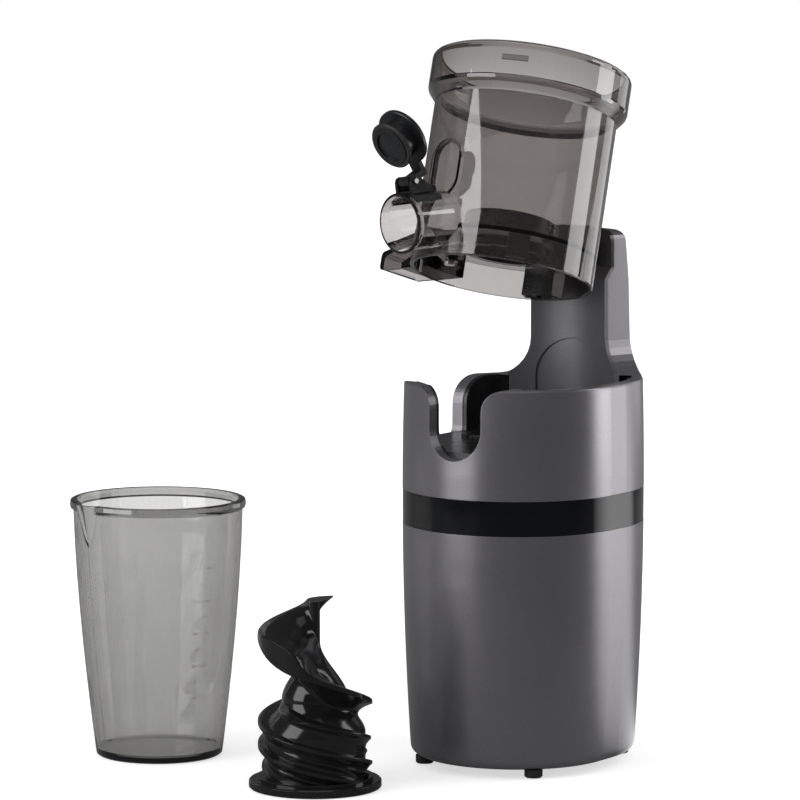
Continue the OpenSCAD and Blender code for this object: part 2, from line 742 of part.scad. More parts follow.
// lid screws sit in the wall where the two rounds of the case meet it
lid_screws = [for (a = [215, 325]) [(case_r - 1.3) * cos(a), (case_r - 1.3) * sin(a)],
    for (a = [35, 145]) [(case_r - 1.3) * cos(a), gear_gap + (case_r - 1.3) * sin(a)]];
module gearbox_screws() {
    color("gray") for (a = lid_screws) translate([a[0], bowl_y + a[1], 0]) {
        post(0, 0, lid_z, lid_z + lid_t, 1.5);
        post(0, 0, lid_z + lid_t, lid_z + lid_t + 2, 2.8);
    }
}
module output_bush() {
    color([0.7, 0.55, 0.3]) at_drive() tube(lid_z, tub_z - 2, output_r + 4, output_r + running);
}
module layshaft_bushes() {
    color([0.7, 0.55, 0.3]) at_layshaft() {
        tube(case_z + 0.6, case_z + case_floor + 1.4, bush_r, shaft_r + running);
        tube(lid_z - 1.4, lid_z + lid_t - 0.6, bush_r, shaft_r + running);
    }
}
module layshaft() {
    color("silver") at_layshaft() {
        post(0, 0, case_z + 1, second_z - 5, shaft_r);
        gear(second_m, small_teeth, second_z - 5, second_w + 7, -90);
        post(0, 0, second_z + second_w + 2, lid_z + lid_t - 1, shaft_r);
    }
}
module layshaft_gear() {
    color("whitesmoke") at_layshaft() difference() {
        gear(first_m, first_teeth, first_z, first_w, -90 + 180 / first_teeth, 2);
        post(0, 0, first_z - 1, first_z + first_w + 1, shaft_r);
        for (k = [0:5]) rotate([0, 0, 60 * k]) post(16, 0, first_z - 1, first_z + first_w + 1, 5);
    }
}
module output_gear() {
    color("whitesmoke") at_drive() difference() {
        gear(second_m, second_teeth, second_z, second_w, 90 + 180 / second_teeth, 2);
        post(0, 0, second_z - 1, second_z + second_w + 1, output_r);
    }
}
drive_top = seat_z + 30;
module drive_shaft() {
    color("silver") at_drive() {
        post(0, 0, second_z - 0.5, hub_z + 3, output_r);
        // shoulder between the gear and the bush
        tube(second_z + second_w, lid_z - 0.3, output_r + 2, output_r);
        post(0, 0, hub_z + 3, drive_top, 6, $fn = 6);
        translate([0, 0, drive_top]) cylinder(h = 2, r1 = 5, r2 = 3);
    }
}

// ---- electrical pieces ----------------------------------------------------------

module control_board() {
    top = board_z + board_t;
    color("darkgreen") translate([-board_w / 2, board_y - board_d / 2, board_z])
        cube([board_w, board_d, board_t]);
    color("black") translate([0, board_y, top]) {
        translate([-20, -20, 0]) cube([12, 8, 10]);
        translate([4, -16, 0]) cube([16, 14, 12]);
        post(-12, 4, 0, 13.4, 6);
        post(6, 8, 0, 10.4, 4);
    }
}
module capacitor() {
    color("gainsboro") translate([-can_len / 2, cap_y, can_z]) rotate([0, 90, 0])
        cylinder(h = can_len, r = can_r);
}
inlet_r = 6.5;
inlet_edge = 2;
seat_in = 0.6;
cord_r = 3.6;
module mains_inlet() {
    wall_y = flank + body_r(inlet_z);
    color("black") translate([0, 0, inlet_z]) rotate([-90, 0, 0]) difference() {
        union() {
            translate([0, 0, wall_y - 9]) cylinder(h = 11, r = inlet_r);
            translate([0, 0, wall_y - seat_in]) cylinder(h = 3.5, r = inlet_r + inlet_edge);
            translate([0, 0, wall_y - 9]) cylinder(h = 4, r = inlet_r + 1.5);
        }
        translate([0, 0, wall_y - 12]) cylinder(h = 20, r = cord_r);
    }
}
// one straight run of wire between two points
module wire(from, to, w) {
    d = to - from;
    length = norm(d);
    translate(from) rotate([0, acos(d[2] / length), atan2(d[1], d[0])])
        translate([-w / 2, -w / 2, -w / 2]) cube([w, w, length + w]);
}
module wiring() {
    wall_y = flank + body_r(inlet_z);
    edge = board_w / 2 - 3;
    end = [6, wall_y - 11.4, inlet_z];
    bend = [34, 40, inlet_z];
    turn = [-42, 36, (board_z + rocker_z) / 2];
    board_top = board_z + board_t;
    color("darkred") {
        wire(end, bend, 3);
        wire([edge, board_y + 18, board_top + 2.4], bend, 3);
        wire([-edge, board_y + 18, board_top + 2], turn, 2.4);
        wire(turn, [-6, back_y - 14, rocker_z - 6], 2.4);
    }
}
pivot_y = back_y - 4;
module rocker_housing() {
    w = rocker_w + 2 * bezel_edge;
    h = rocker_h + 2 * bezel_edge;
    color("black") difference() {
        union() {
            translate([-w / 2, back_y - 12, rocker_z - h / 2]) cube([w, 12.3, h]);
            translate([-w / 2 - bezel_lip, back_y - seat_in, rocker_z - h / 2 - bezel_lip])
                cube([w + 2 * bezel_lip, 2, h + 2 * bezel_lip]);
        }
        translate([-rocker_w / 2, back_y - 10, rocker_z - rocker_h / 2]) cube([rocker_w, 20, rocker_h]);
        translate([-w, pivot_y, rocker_z]) rotate([0, 90, 0]) cylinder(h = 2 * w, r = 1.5 + running);
    }
}
module power_rocker() {
    half = rocker_h / 2 - 1;
    color([0.12, 0.12, 0.13]) {
        translate([-rocker_w / 2 + 0.4, pivot_y, rocker_z]) rotate([90, 0, 90])
            linear_extrude(height = rocker_w - 0.8)
                polygon([[-4, -half + 4], [3.2, -half], [5, -half + 1], [4.2, 0], [5, half - 1],
                    [3.2, half], [-4, half - 4]]);
        translate([-rocker_w / 2 - 2, pivot_y, rocker_z]) rotate([0, 90, 0])
            cylinder(h = rocker_w + 4, r = 1.5);
    }
}
module safety_switch() {
    color("firebrick") translate([-6, 52, tub_z - 12]) cube([12, 8, 12]);
}

// ---- juicing bowl ---------------------------------------------------------------

// places a shape drawn about the bowl's lower edge at the bowl's place, with the spout to -Y
module at_bowl() {
    translate([bowl_aside, bowl_y - bowl_forward, seat_z + bowl_lift])
        rotate(a = bowl_lean, v = [-sin(lean_way), cos(lean_way), 0])
            rotate([0, 0, bowl_turn]) children();
}
lean_way = 98;
// places a shape drawn along +Z, with +Y upwards, on the spout's axis where it leaves the wall
module at_spout() { translate([0, -bowl_r, spout_z]) rotate([90 + spout_drop, 0, 0]) children(); }
floor_h = 2.5;
ring_step = bowl_h - ring_h;
ring_round = 4;
spout_in = 15;
bore_spout = spout_r - spout_t;
module spout_bore() {
    at_spout() rotate_extrude() polygon([[0, -spout_in], [bore_spout, -spout_in],
        [bore_spout, spout_len - 4], [mouth_r - spout_t, spout_len + 0.5], [0, spout_len + 0.5]]);
}
module juice_bowl() {
    inner = bowl_r - bowl_t;
    ring_in = ring_r - bowl_t;
    color([0.35, 0.34, 0.34, 0.5]) at_bowl() {
        difference() {
            union() {
                // wall and ring
                rotate_extrude() polygon(concat(
                    [[inner, 0.5], [inner + 0.5, 0], [bowl_r - 0.8, 0], [bowl_r, 0.8],
                    [bowl_r, ring_step - 5], [ring_r - 0.6, ring_step + 1], [ring_r, ring_step + 3]],
                    arc(ring_r - ring_round, bowl_h - ring_round, ring_round, 0, 70, 4),
                    [[ring_r - ring_round - 0.8, bowl_h - 1.2], [ring_in - 0.6, bowl_h - 5],
                    [ring_in, ring_step + 4], [inner + 2, ring_step + 1], [inner, ring_step - 2]]));
                // spout from outside, with the rim around its mouth
                at_spout() rotate_extrude() polygon([[0, -6], [spout_r, -6], [spout_r, spout_len - 5],
                    [mouth_r, spout_len - 1.2], [mouth_r, spout_len - 0.4], [mouth_r - 0.5, spout_len],
                    [0, spout_len]]);
                chute_outside();
                // pad for a thumb above the spout
                translate([0, -bowl_r + 2, 0]) thumb_pad(3.6);
            }
            translate([0, -bowl_r + 6, 0]) thumb_pad(7.6 - bowl_t, 2);
            // keep the inside of the bowl free
            post(0, 0, skirt_h + floor_h, ring_step - 5, inner);
            post(0, 0, -1, skirt_h, inner);
            post(0, 0, skirt_h - 1, skirt_h + floor_h + 1, hub_r);
            spout_bore();
            chute_inside();
        }
        // floor with its channel down to the spout
        difference() {
            union() {
                post(0, 0, skirt_h, skirt_h + floor_h, inner + 0.5);
                intersection() {
                    at_spout() translate([0, 0, -spout_in - 2]) cylinder(h = spout_in + 2, r = spout_r);
                    post(0, 0, 0.5, skirt_h + 1, inner + 0.5);
                }
            }
            post(0, 0, skirt_h - 15, skirt_h + floor_h + 1, hub_r);
            spout_bore();
        }
        // lugs inside the ring that lock the hopper
        for (a = [-60, 60, 180]) rotate([0, 0, a]) rotate_extrude(angle = 16)
            translate([ring_in - 2.2, bowl_h - 12]) square([3, 3]);
    }
}
// raised by out from a plane, with its outline moved in by off
module thumb_pad(out, off = 0) {
    low = spout_z + 26;
    high = low + 11;
    r = 12.5 - off;
    for (z = [low, high]) translate([0, 0, z]) rotate([90, 0, 0]) cylinder(h = out, r = r);
    translate([-r, -out, low]) cube([2 * r, out, high - low]);
}
// the chute from the wall down to its end, open below under the end's hood
chute_wall_top = skirt_h + floor_h + 7.5;
module chute_outside() {
    end_top = chute_low + chute_end_h;
    translate([0, chute_half, 0]) rotate([90, 0, 0]) linear_extrude(height = 2 * chute_half)
        polygon(concat([[-bowl_r + 4, chute_low], [-chute_reach + 2.5, chute_low]],
            arc(-chute_reach + 2.5, chute_low + 2.5, 2.5, 270, 180, 3),
            arc(-chute_reach + 3.5, end_top - 3.5, 3.5, 180, 90, 5),
            [[-bowl_r - 6, chute_wall_top], [-bowl_r + 4, chute_wall_top]]));
}
module chute_inside() {
    w = chute_half - bowl_t;
    t = bowl_t;
    end_top = chute_low + chute_end_h;
    mid = -chute_reach + 19;
    translate([0, w, 0]) rotate([90, 0, 0]) linear_extrude(height = 2 * w)
        polygon([[-bowl_r + 6, skirt_h + floor_h], [-bowl_r - 4, skirt_h + floor_h], [mid, chute_low + 4],
            [mid, chute_low - 1], [-chute_reach + t, chute_low - 1], [-chute_reach + t, end_top - t - 2],
            [-chute_reach + t + 2, end_top - t], [-bowl_r - 6, chute_wall_top - t],
            [-bowl_r + 6, chute_wall_top - t]]);
}
module floor_ring() {
    low = skirt_h - 3;
    top = skirt_h + 19;
    color("black") at_bowl() difference() {
        union() {
            tube(low, top, hub_r, hub_bore_r);
            tube(skirt_h + floor_h, skirt_h + floor_h + 2, hub_r + 3, hub_r - 1);
        }
        // grooves of the sealing lips
        for (z = [top - 3, top - 7]) difference() {
            post(0, 0, z, z + 1.2, hub_r + 5);
            post(0, 0, z - 1, z + 3, hub_r - 0.7);
        }
    }
}
module locating_lugs() {
    inner = bowl_r - bowl_t;
    color("black") at_bowl() {
        // comb of four ribs joined at the back
        difference() {
            rotate([0, 0, 93]) rotate_extrude(angle = 28) translate([inner - 9.5, 0.6])
                square([9.35, skirt_h - 0.6]);
            for (a = [99.5, 107.5, 115.5]) rotate([0, 0, a]) translate([inner - 8.4, -2.3, -1])
                cube([20, 4.6, 40]);
        }
        for (a = [10, 320]) rotate([0, 0, a]) rotate_extrude(angle = 14)
            translate([inner - 8, 3]) square([7.9, skirt_h - 3]);
    }
}
pin_r = 1.6;
ear_half = 6.4;
pivot_out = spout_len - 10;
module cap_bracket() {
    color([0.04, 0.04, 0.045]) at_bowl() at_spout() difference() {
        union() {
            // saddle over the top of the spout
            intersection() {
                translate([0, 0, pivot_out - 15]) difference() {
                    cylinder(h = 19, r = spout_r + 2);
                    translate([0, 0, -1]) cylinder(h = 22, r = spout_r);
                }
                translate([-12, 6, 0]) cube([24, 20, 40]);
            }
            // side plates that carry the pin, sloping back to the wall
            for (s = [-1, 1]) translate([s * ear_half - 1, 0, 0]) rotate([0, -90, 0])
                translate([0, 0, -2]) linear_extrude(height = 2)
                    polygon([[pivot_out + 3.6, spout_r - 0.5], [pivot_out + 3.6, cap_pivot_h],
                        [pivot_out + 2.5, cap_pivot_h + 2.5], [pivot_out, cap_pivot_h + 3.4],
                        [pivot_out - 3, cap_pivot_h + 2.6], [pivot_out - 15, spout_r + 2.5],
                        [pivot_out - 15, spout_r - 0.5]]);
            // brace between the plates
            translate([-ear_half, spout_r + 0.5, pivot_out - 12]) cube([2 * ear_half, 2.2, 4]);
        }
        translate([-20, cap_pivot_h, pivot_out]) rotate([0, 90, 0]) cylinder(h = 40, r = pin_r);
        translate([0, 0, -5]) cylinder(h = 60, r = spout_r);
    }
}
module cap_pin() {
    color("silver") at_bowl() at_spout() translate([-8.6, cap_pivot_h, pivot_out]) rotate([0, 90, 0])
        cylinder(h = 17.2, r = pin_r);
}
// places a shape drawn about the closed cap's hinge pin at the open cap's place
module at_cap() {
    at_bowl() at_spout() translate([0, cap_pivot_h, pivot_out]) rotate([-cap_open, 0, 0]) children();
}
mouth_at = spout_len - pivot_out + 0.3;
seal_w = 2.4;
module spout_cap() {
    arm = 4.2;
    color([0.04, 0.04, 0.045]) at_cap() difference() {
        union() {
            // disc with its raised edge, and the plug
            translate([0, -cap_pivot_h, mouth_at]) rotate_extrude() polygon([[0, 0], [cap_r - 0.5, 0],
                [cap_r, 0.5], [cap_r, cap_t - 0.6], [cap_r - 0.6, cap_t], [cap_r - 3, cap_t],
                [cap_r - 3.6, cap_t - 0.6], [0, cap_t - 0.6]]);
            translate([0, -cap_pivot_h, mouth_at]) rotate_extrude() polygon([[0, 0.1], [0, 1.2 - plug_len],
                [plug_r - 2.4, 1.2 - plug_len], [plug_r - 2.4, -plug_len], [plug_r, -plug_len],
                [plug_r, 0.1]]);
            // arm up to the pin
            translate([-arm, -cap_pivot_h + cap_r - 4, mouth_at])
                cube([2 * arm, cap_pivot_h - cap_r + 5.5, cap_t]);
            translate([-arm, -2, 0]) cube([2 * arm, 4, mouth_at + cap_t]);
            translate([-arm, 0, 0]) rotate([0, 90, 0]) cylinder(h = 2 * arm, r = 3.4);
        }
        translate([-10, 0, 0]) rotate([0, 90, 0]) cylinder(h = 20, r = pin_r + running);
        // groove of the seal
        translate([0, -cap_pivot_h, mouth_at - plug_len + 0.8]) tube(0, seal_w, plug_r + 2, plug_r - 1);
    }
}
module cap_seal() {
    color("dimgray") at_cap() translate([0, -cap_pivot_h, mouth_at - plug_len + 0.8])
        rotate_extrude() polygon([[plug_r - 1, 0], [bore_spout - 0.9, 0], [bore_spout - 0.2, 0.8],
            [bore_spout - 0.2, 1.6], [bore_spout - 0.9, seal_w], [plug_r - 1, seal_w]]);
}
// pulp lever under the floor: an arc about its pin, closed against the chute's entry
lever_a = 196;
lever_span = 46;
lever_at = 40;
lever_top = skirt_h - 1;
module pulp_lever() {
    low = lever_top - 6;
    color([0.05, 0.05, 0.055]) at_bowl() difference() {
        union() {
            rotate([0, 0, lever_a]) rotate_extrude(angle = lever_span)
                translate([lever_at - 4.5, low]) square([6, 6]);
            rotate([0, 0, lever_a]) rotate_extrude(angle = 30)
                translate([lever_at + 1.5 - eps, low + 4]) square([6, 2]);
            rotate([0, 0, lever_a]) translate([lever_at - 1.5, 0, low]) cylinder(h = 6, r = 5);
            rotate([0, 0, lever_a + lever_span]) translate([lever_at - 2.5, 0, low - 1])
                cylinder(h = 7, r = 4);
        }
        rotate([0, 0, lever_a]) translate([lever_at - 1.5, 0, low - 1]) cylinder(h = 8, r = pin_r + running);
    }
}
module lever_pin() {
    color("silver") at_bowl() rotate([0, 0, lever_a]) translate([lever_at - 1.5, 0, lever_top - 7]) {
        cylinder(h = skirt_h - lever_top + 7, r = pin_r);
        translate([0, 0, -1.4]) cylinder(h = 1.7, r = 3.2);
    }
}

// ---- auger ----------------------------------------------------------------------

// angle of the tall blade at a height: it turns clockwise as it rises
blade_from = 44.8;
function wind(z) = (z > blade_from ? -(z - blade_from) * 360 / blade_pitch
    : (blade_from - z) * 360 / rib_pitch) - 15 * ramp((z - 88) / 16);
function ramp(x) = x < 0 ? 0 : x > 1 ? 1 : x * x * (3 - 2 * x);
function turned(a) = a - 360 * floor((a + 180) / 360);
// share of a rib's height at an angle d from its crest: steep above, flat edge, hollow below
function crest(d, below, above, flat) = d >= 0 ? 1 - ramp(d / above)
    : pow(min(1, max(0, 1 + (d + flat) / below)), 2.2);
// share of the tall blade's height: its flat edge widens upward and its front corner draws in
function tall(d, flat, front, rise) = d >= 0
    ? front * ((1 - rise) * (1 - ramp(d / 9)) + rise * pow(max(0, 1 - d / 75), 4))
    : d > -flat ? 1 - (1 - front) * (1 + d / flat) : pow(max(0, 1 + (d + flat) / 62), 2.2);
function tall_at(a, z) = let (rise = ramp((z - 58) / 22))
    tall(turned(a - 50 * ramp((z - 62) / 20)), 14 + 36 * rise, 1 - 0.62 * ramp((z - 84) / 20), rise);
// ribs: [angle, lower end, upper end, height over the core's share, widths below, above, flat]
RIBS = [[98, -20, 52, 1, 52, 9, 12], [205, -20, 44, 0.8, 42, 9, 12], [48, -20, 20, 0.45, 24, 8, 8],
    [150, -20, 19, 0.5, 24, 8, 8], [262, -20, 17, 0.45, 24, 8, 8], [318, -20, 14, 0.45, 24, 8, 8]];
screw_h = auger_h - flange_t - 2;
function core_r(z) = auger_r * (z < 26 ? 0.88 : z < 46 ? 0.88 - 0.3 * ramp((z - 26) / 20)
    : 0.58 - 0.49 * ramp((z - 46) / 34));
function rim_r(z) = auger_r * (z < 86 ? 1 : 1 - 0.28 * ramp((z - 86) / (screw_h - 86)));
function auger_reach(a, z) = let (core = core_r(z), rim = rim_r(z))
    max(core + (rim - core) * tall_at(a, z), max([for (k = RIBS) let (
        fade = ramp((k[2] - z) / 9),
        d = turned(a - k[0])) core + (rim - core) * k[3] * fade * crest(d, k[4], k[5], k[6])]));
module auger_screw() {
    columns = 60;
    rows = 40;
    points = [for (j = [0:rows], i = [0:columns - 1]) let (z = screw_h * j / rows,
        a = 360 * i / columns, r = auger_reach(a, z), w = wind(z) + view_turn)
        [r * cos(a + w), r * sin(a + w), z]];
    quads = [for (j = [0:rows - 1], i = [0:columns - 1]) let (n = (i + 1) % columns)
        each [[j * columns + i, (j + 1) * columns + i, (j + 1) * columns + n],
            [j * columns + i, (j + 1) * columns + n, j * columns + n]]];
    bottom = [[for (i = [0:columns - 1]) i]];
    top = [[for (i = [columns - 1:-1:0]) rows * columns + i]];
    color([0.03, 0.03, 0.035]) translate([auger_x, auger_y, flange_t + 2])
        polyhedron(points, concat(quads, bottom, top));
}
view_turn = 35;
module auger_base() {
    color([0.03, 0.03, 0.035]) translate([auger_x, auger_y, 0]) difference() {
        union() {
            rotate_extrude() polygon([[0, 0], [flange_r - 0.8, 0], [flange_r, 0.8],
                [flange_r, flange_t - 0.8], [flange_r - 0.8, flange_t], [auger_r + 0.5, flange_t],
                [auger_r + 0.5, flange_t + 2], [0, flange_t + 2]]);
        }
        tube(-1, 3.5, auger_r, 16);
        post(0, 0, -1, 5.5, socket_r);
    }
}
socket_r = 12;
module drive_socket() {
    color("silver") translate([auger_x, auger_y, 0]) difference() {
        post(0, 0, 0, 5.5, socket_r);
        post(0, 0, -1, 4.5, 6.2, $fn = 6);
    }
}

// ---- juice cup ------------------------------------------------------------------

function cup_r(z) = cup_foot_r + (cup_rim_r - cup_foot_r) * (1 - pow(1 - z / cup_h, 1.55));
cup_lip_turn = -109;
module juice_cup() {
    outer = [for (z = [3, 12, 30, 50, 70, 90, 110, 130, cup_h - 6]) [cup_r(z), z]];
    inner = [for (i = [len(outer) - 1:-1:0]) [outer[i][0] - cup_t, max(outer[i][1], 5)]];
    color([0.42, 0.42, 0.41, 0.5]) translate([cup_x, cup_y, 0]) rotate([0, 0, cup_lip_turn]) difference() {
        union() {
            rotate_extrude() polygon(concat([[0, 0], [cup_foot_r - 1.5, 0], [cup_foot_r, 1]], outer,
                [[cup_rim_r + 1.6, cup_h - 5], [cup_rim_r + 2, cup_h - 3], [cup_rim_r + 1.6, cup_h - 0.6],
                [cup_rim_r + 0.6, cup_h], [0, cup_h]]));
            lip_cone(0);
        }
        rotate_extrude() polygon(concat([[0, cup_h + 1], [cup_rim_r - cup_t, cup_h + 1]], inner,
            [[cup_foot_r - cup_t - 2, 3.5], [0, 3.5]]));
        lip_cone(cup_t);
    }
}
module lip_cone(off) {
    depth = 38;
    r_top = 13 - off;
    z0 = cup_h - depth;
    translate([cup_rim_r - 12 + lip_out, 0, z0])
        cylinder(h = depth + (off > 0 ? eps : 0), r1 = off > 0 ? r_top - 9 : 13 - 9.5, r2 = r_top);
}

lower_housing();
upper_housing();
accent_band();
neck_cover();
neck_insert();
well_tub();
deck_seal();
deck_screws();
base_cover();
base_screws();
rubber_feet();
gearbox_case();
gearbox_cover();
gearbox_screws();
output_bush();
layshaft_bushes();
motor_stator();
motor_windings();
motor_upper_frame();
motor_lower_frame();
motor_bearings();
motor_bolts();
control_board();
capacitor();
wiring();
mains_inlet();
rocker_housing();
power_rocker();
safety_switch();
rotor_core();
motor_shaft();
cooling_fan();
layshaft();
layshaft_gear();
output_gear();
drive_shaft();
juice_bowl();
floor_ring();
locating_lugs();
cap_bracket();
cap_pin();
spout_cap();
cap_seal();
pulp_lever();
lever_pin();
auger_screw();
auger_base();
drive_socket();
juice_cup();
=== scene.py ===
import math

import bmesh
import bpy
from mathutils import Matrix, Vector


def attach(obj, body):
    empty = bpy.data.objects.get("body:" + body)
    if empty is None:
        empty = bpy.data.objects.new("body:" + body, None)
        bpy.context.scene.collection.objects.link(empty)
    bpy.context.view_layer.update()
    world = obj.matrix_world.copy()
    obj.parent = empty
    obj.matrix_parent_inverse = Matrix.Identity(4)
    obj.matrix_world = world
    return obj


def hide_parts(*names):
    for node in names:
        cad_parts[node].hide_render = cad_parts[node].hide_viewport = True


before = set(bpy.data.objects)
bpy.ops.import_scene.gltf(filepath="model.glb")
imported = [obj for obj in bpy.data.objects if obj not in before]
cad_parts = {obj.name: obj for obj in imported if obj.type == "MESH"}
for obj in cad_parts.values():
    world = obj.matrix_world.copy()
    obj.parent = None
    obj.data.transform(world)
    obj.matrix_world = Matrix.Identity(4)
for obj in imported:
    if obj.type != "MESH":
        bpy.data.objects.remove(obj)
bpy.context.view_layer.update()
MM = 0.001

# ---- Housings ----------------------------------------------------------------
# Two injection-moulded ABS shells, joined under the black band and sprayed together.
# The finish is a graphite paint with fine metal flake under a satin clear coat, so it
# reflects the room in long soft stripes.
GRAPHITE = (0.212, 0.205, 0.219)
FLAKE_CONTRAST = 0.16
FLAKE_SHARE = 0.8


def new_material(name):
    """An empty material with its output and one Principled shader."""
    mat = bpy.data.materials.new(name)
    mat.use_nodes = True
    nt = mat.node_tree
    nt.nodes.clear()
    out = nt.nodes.new("ShaderNodeOutputMaterial")
    skin = nt.nodes.new("ShaderNodeBsdfPrincipled")
    nt.links.new(skin.outputs["BSDF"], out.inputs["Surface"])
    return mat, nt, skin


def place_coords(nt, stretch=(1, 1, 1)):
    """Coordinates in metres on the piece itself, multiplied by stretch."""
    coords = nt.nodes.new("ShaderNodeTexCoord")
    mapping = nt.nodes.new("ShaderNodeMapping")
    mapping.inputs["Scale"].default_value = stretch
    nt.links.new(coords.outputs["Object"], mapping.inputs["Vector"])
    return mapping.outputs["Vector"]


def speckle(nt, where, scale, detail=2.0, rough=0.5):
    """Cloudy noise, scale in features per metre."""
    noise = nt.nodes.new("ShaderNodeTexNoise")
    noise.inputs["Scale"].default_value = scale
    noise.inputs["Detail"].default_value = detail
    noise.inputs["Roughness"].default_value = rough
    nt.links.new(where, noise.inputs["Vector"])
    return noise.outputs["Fac"]


def spread(nt, value, low, high, src=(0.3, 0.7)):
    """Maps the range src of a value onto low..high."""
    mapped = nt.nodes.new("ShaderNodeMapRange")
    mapped.inputs["From Min"].default_value = src[0]
    mapped.inputs["From Max"].default_value = src[1]
    mapped.inputs["To Min"].default_value = low
    mapped.inputs["To Max"].default_value = high
    nt.links.new(value, mapped.inputs["Value"])
    return mapped.outputs["Result"]


def two_tone(nt, value, dark, light):
    """A colour between dark and light, by a value that lies mostly in 0.3..0.7."""
    tones = nt.nodes.new("ShaderNodeValToRGB")
    first, last = tones.color_ramp.elements
    first.color = (*dark, 1)
    first.position = 0.3
    last.color = (*light, 1)
    last.position = 0.7
    nt.links.new(value, tones.inputs["Fac"])
    return tones.outputs["Color"]


def shade(colour, contrast):
    """The darker and the lighter tone that lie that share from a colour."""
    dark = tuple(c * (1 - contrast) for c in colour)
    light = tuple(c * (1 + contrast) for c in colour)
    return dark, light


def relief(nt, skin, value, depth, strength, edge=0.0):
    """Fine relief of that depth in metres, over edges rounded by a radius."""
    bump = nt.nodes.new("ShaderNodeBump")
    bump.inputs["Strength"].default_value = strength
    bump.inputs["Distance"].default_value = depth
    nt.links.new(value, bump.inputs["Height"])
    if edge:
        round_edge = nt.nodes.new("ShaderNodeBevel")
        round_edge.samples = 4
        round_edge.inputs["Radius"].default_value = edge
        nt.links.new(round_edge.outputs["Normal"], bump.inputs["Normal"])
    nt.links.new(bump.outputs["Normal"], skin.inputs["Normal"])


def paint(mat, *names):
    """Gives each named piece of the frame this one material."""
    for name in names:
        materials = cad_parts[name].data.materials
        materials.clear()
        materials.append(mat)


paint_mat, nt, skin = new_material("graphite_flake_paint")
skin.inputs["Metallic"].default_value = 0.68
skin.inputs["Coat Weight"].default_value = 0.12
skin.inputs["Coat Roughness"].default_value = 0.32
metres = place_coords(nt)
flake = speckle(nt, metres, scale=2600, detail=1.0)
cloud = speckle(nt, metres, scale=14, detail=3.0)
flake_and_cloud = nt.nodes.new("ShaderNodeMath")
flake_and_cloud.operation = "MULTIPLY_ADD"
flake_and_cloud.inputs[1].default_value = FLAKE_SHARE
nt.links.new(flake, flake_and_cloud.inputs[0])
nt.links.new(spread(nt, cloud, low=0.04, high=0.16), flake_and_cloud.inputs[2])
nt.links.new(two_tone(nt, flake_and_cloud.outputs[0], *shade(GRAPHITE, FLAKE_CONTRAST)),
             skin.inputs["Base Color"])
nt.links.new(spread(nt, cloud, low=0.27, high=0.32), skin.inputs["Roughness"])
relief(nt, skin, speckle(nt, metres, scale=1500), depth=0.00002, strength=0.35, edge=0.0006)
paint(paint_mat, "lower_housing", "upper_housing")


# ---- Accent band -------------------------------------------------------------
# A closed ring of black acrylic-coated ABS that hides the seam between the shells.
# It is moulded in one piece with a mirror finish and snaps over the shoulder.
def moulded(name, dark, light, rough, cloud=(90, 4.0), grain=(1800, 2.0), depth=0.00004,
            strength=0.5, edge=0.0003):
    """A moulded finish: two close tones and a range of roughness in soft clouds, and a fine
    grain. Cloud and grain are features per metre with their detail, depth and edge are metres.
    """
    mat, nt, skin = new_material(name)
    metres = place_coords(nt)
    clouds = speckle(nt, metres, *cloud)
    nt.links.new(two_tone(nt, clouds, dark, light), skin.inputs["Base Color"])
    nt.links.new(spread(nt, clouds, *rough), skin.inputs["Roughness"])
    relief(nt, skin, speckle(nt, metres, *grain), depth, strength, edge)
    return mat


paint(moulded("black_gloss_band", (0.0020, 0.0023, 0.0034), (0.0035, 0.0039, 0.0054), (0.04, 0.08),
              cloud=(22, 4.0), grain=(60, 2.0), depth=0.00003, strength=0.15, edge=0.0004),
      "accent_band")

# ---- Neck cover and its insert -----------------------------------------------
# The hollow front of the neck: a dark grey satin cover with a shallow arched recess
# where the bowl leans, and a gloss black insert above it, both clipped in from behind.
NECK_GREY = (0.112, 0.109, 0.116)
NECK_CONTRAST = 0.14
cover_mat, nt, skin = new_material("dark_grey_satin_cover")
skin.inputs["Metallic"].default_value = 0.35
metres = place_coords(nt)
fine = speckle(nt, metres, scale=2200, detail=1.0)
cloud = speckle(nt, metres, scale=30, detail=3.0)
nt.links.new(two_tone(nt, fine, *shade(NECK_GREY, NECK_CONTRAST)), skin.inputs["Base Color"])
nt.links.new(spread(nt, cloud, low=0.34, high=0.42), skin.inputs["Roughness"])
relief(nt, skin, speckle(nt, metres, scale=1700), depth=0.00003, strength=0.5, edge=0.0005)
paint(cover_mat, "neck_cover")
paint(moulded("black_gloss_insert", (0.010, 0.010, 0.011), (0.015, 0.015, 0.017), (0.14, 0.22),
              cloud=(35, 3.0), grain=(900, 1.0), depth=0.00002, strength=0.2, edge=0.0005),
      "neck_insert")

# ---- Well tub ----------------------------------------------------------------
# The black tub that lines the collar and carries the bowl: one moulding of glossy
# black ABS with a raised hub for the drive, fixed by screws from below and above.
paint(moulded("black_tub_plastic", (0.010, 0.010, 0.011), (0.017, 0.017, 0.018), (0.20, 0.30),
              cloud=(45, 4.0), grain=(1100, 2.0), depth=0.00003, strength=0.4, edge=0.0005),
      "well_tub")

# ---- Rubber: feet and deck seal ----------------------------------------------
# Moulded rubber feet pushed through the floor, and the lip seal round the drive shaft.
# Matt black, with a fine sandy skin and a little dust on it.
paint(moulded("matt_black_rubber", (0.010, 0.010, 0.010), (0.026, 0.025, 0.024), (0.72, 0.9),
              cloud=(160, 5.0, 0.65), grain=(3200, 3.0), depth=0.00006, strength=0.7, edge=0.0004),
      "rubber_feet", "deck_seal")

